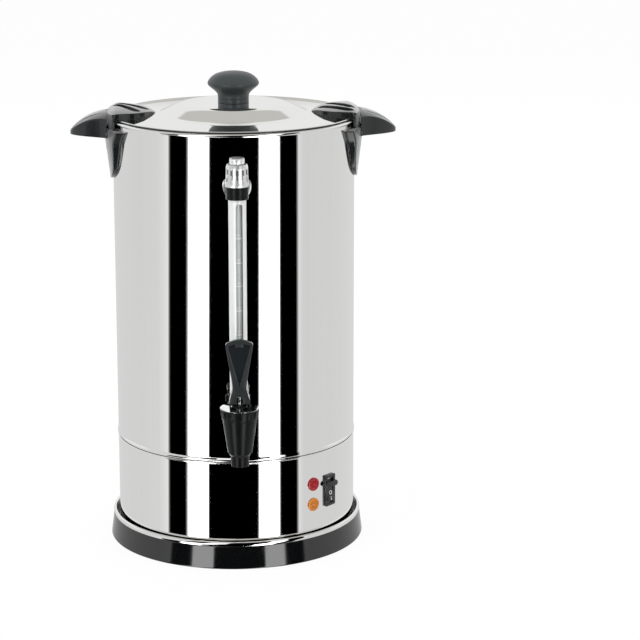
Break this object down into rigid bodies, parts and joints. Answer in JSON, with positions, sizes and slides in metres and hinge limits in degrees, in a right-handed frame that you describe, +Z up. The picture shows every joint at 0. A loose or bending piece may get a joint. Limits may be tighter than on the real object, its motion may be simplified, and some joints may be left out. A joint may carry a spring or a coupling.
{
  "type": "hot water urn",
  "caption": "Cylindrical steel hot water urn with a twist-lock lid, side handles, sight gauge with guard tube, lever tap, lamps and rocker switch on a black base.",
  "frame": {"origin": "centre of the base's lower edge, on the resting plane under the tank's axis", "axes": "+Z up along the tank's axis, -Y to the front where the tap and gauge are, X through the two side handles"},
  "size_m": [0.3708, 0.3559, 0.5437],
  "materials": {
    "polished_steel": "mirror-polished stainless steel",
    "blasted_steel": "bead-blasted tube, pale and even",
    "pressed_steel": "pressed sheet, dull",
    "chrome_plate": "bright chrome plate",
    "fastener_steel": "turned and polished",
    "aluminium": "cast, machined face",
    "element_sheath": "heat-darkened sheath",
    "base_black": "moulded, high gloss",
    "grip_plastic": "moulded, fine satin",
    "tap_black": "moulded, semi-gloss",
    "lever_black": "moulded, satin",
    "rubber": "moulded",
    "silicone": "translucent silicone",
    "sight_glass": "clear drawn tube",
    "red_lens": "translucent, polished",
    "amber_lens": "translucent, polished",
    "lamp_body": "natural nylon",
    "switch_black": "moulded, satin",
    "contact_brass": "stamped"
  },
  "bodies": {
    "root": {"tank_shell": "polished_steel", "lower_housing": "polished_steel", "base_trim_ring": "polished_steel", "gauge_guard": "blasted_steel", "tank_floor": "pressed_steel", "base_plate": "pressed_steel", "gauge_cap": "chrome_plate", "gauge_saddle": "chrome_plate", "gauge_vent_plug": "chrome_plate", "bonnet_disc": "chrome_plate", "tap_shank": "chrome_plate", "shank_nut": "chrome_plate", "foot_screws": "fastener_steel", "plate_screws": "fastener_steel", "inlet_screws": "fastener_steel", "handle_screws": "fastener_steel", "saddle_screw": "fastener_steel", "tap_spring": "fastener_steel", "heat_plate": "aluminium", "heating_element": "element_sheath", "thermostat": "element_sheath", "boil_dry_cutout": "element_sheath", "base_ring": "base_black", "left_handle": "grip_plastic", "right_handle": "grip_plastic", "tap_body": "tap_black", "tap_bonnet": "tap_black", "gauge_socket": "tap_black", "gauge_collar": "tap_black", "rubber_feet": "rubber", "handle_washers": "silicone", "outer_gasket": "silicone", "inner_gasket": "silicone", "gauge_glass": "sight_glass", "red_lamp_lens": "red_lens", "amber_lamp_lens": "amber_lens", "lamp_holders": "lamp_body", "terminal_block": "lamp_body", "switch_housing": "switch_black", "power_inlet": "switch_black", "inlet_pins": "contact_brass"},
    "lid_grip": {"lid_knob": "grip_plastic", "knob_washer": "silicone", "knob_screw": "fastener_steel"},
    "lid": {"lid_shell": "polished_steel", "right_lid_lug": "grip_plastic", "left_lid_lug": "grip_plastic", "lug_screws": "fastener_steel"},
    "stem": {"tap_stem": "fastener_steel", "seat_cup": "silicone", "lever_pin": "fastener_steel"},
    "lever": {"tap_lever": "lever_black"},
    "rocker": {"switch_rocker": "switch_black"}
  },
  "joints": [
    {"name": "lid_lift", "type": "slide", "parent": "root", "child": "lid_grip", "axis": [0, 0, 1], "range_m": [0, 0.24]},
    {"name": "lid_twist", "type": "hinge", "parent": "lid_grip", "child": "lid", "pos_m": [0, 0, 0.5083], "axis": [0, 0, 1], "range_deg": [-25, 25]},
    {"name": "stem_lift", "type": "slide", "parent": "root", "child": "stem", "axis": [0, 0, 1], "range_m": [0, 0.0032], "stiffness_N_per_m": 10, "springref_m": -0.002, "deforming": ["tap_spring"]},
    {"name": "lever_tilt", "type": "hinge", "parent": "stem", "child": "lever", "pos_m": [0, -0.1865, 0.2099], "axis": [1, 0, 0], "range_deg": [0, 50]},
    {"name": "rocker_tilt", "type": "hinge", "parent": "root", "child": "rocker", "pos_m": [0.1009, -0.08833, 0.0742], "axis": [0.6587, 0.7524, 0], "range_deg": [0, 18]}
  ],
  "couplings": [
    {"joint": "stem_lift", "follows": "lever_tilt", "m_per_rad": 0.0036}
  ]
}
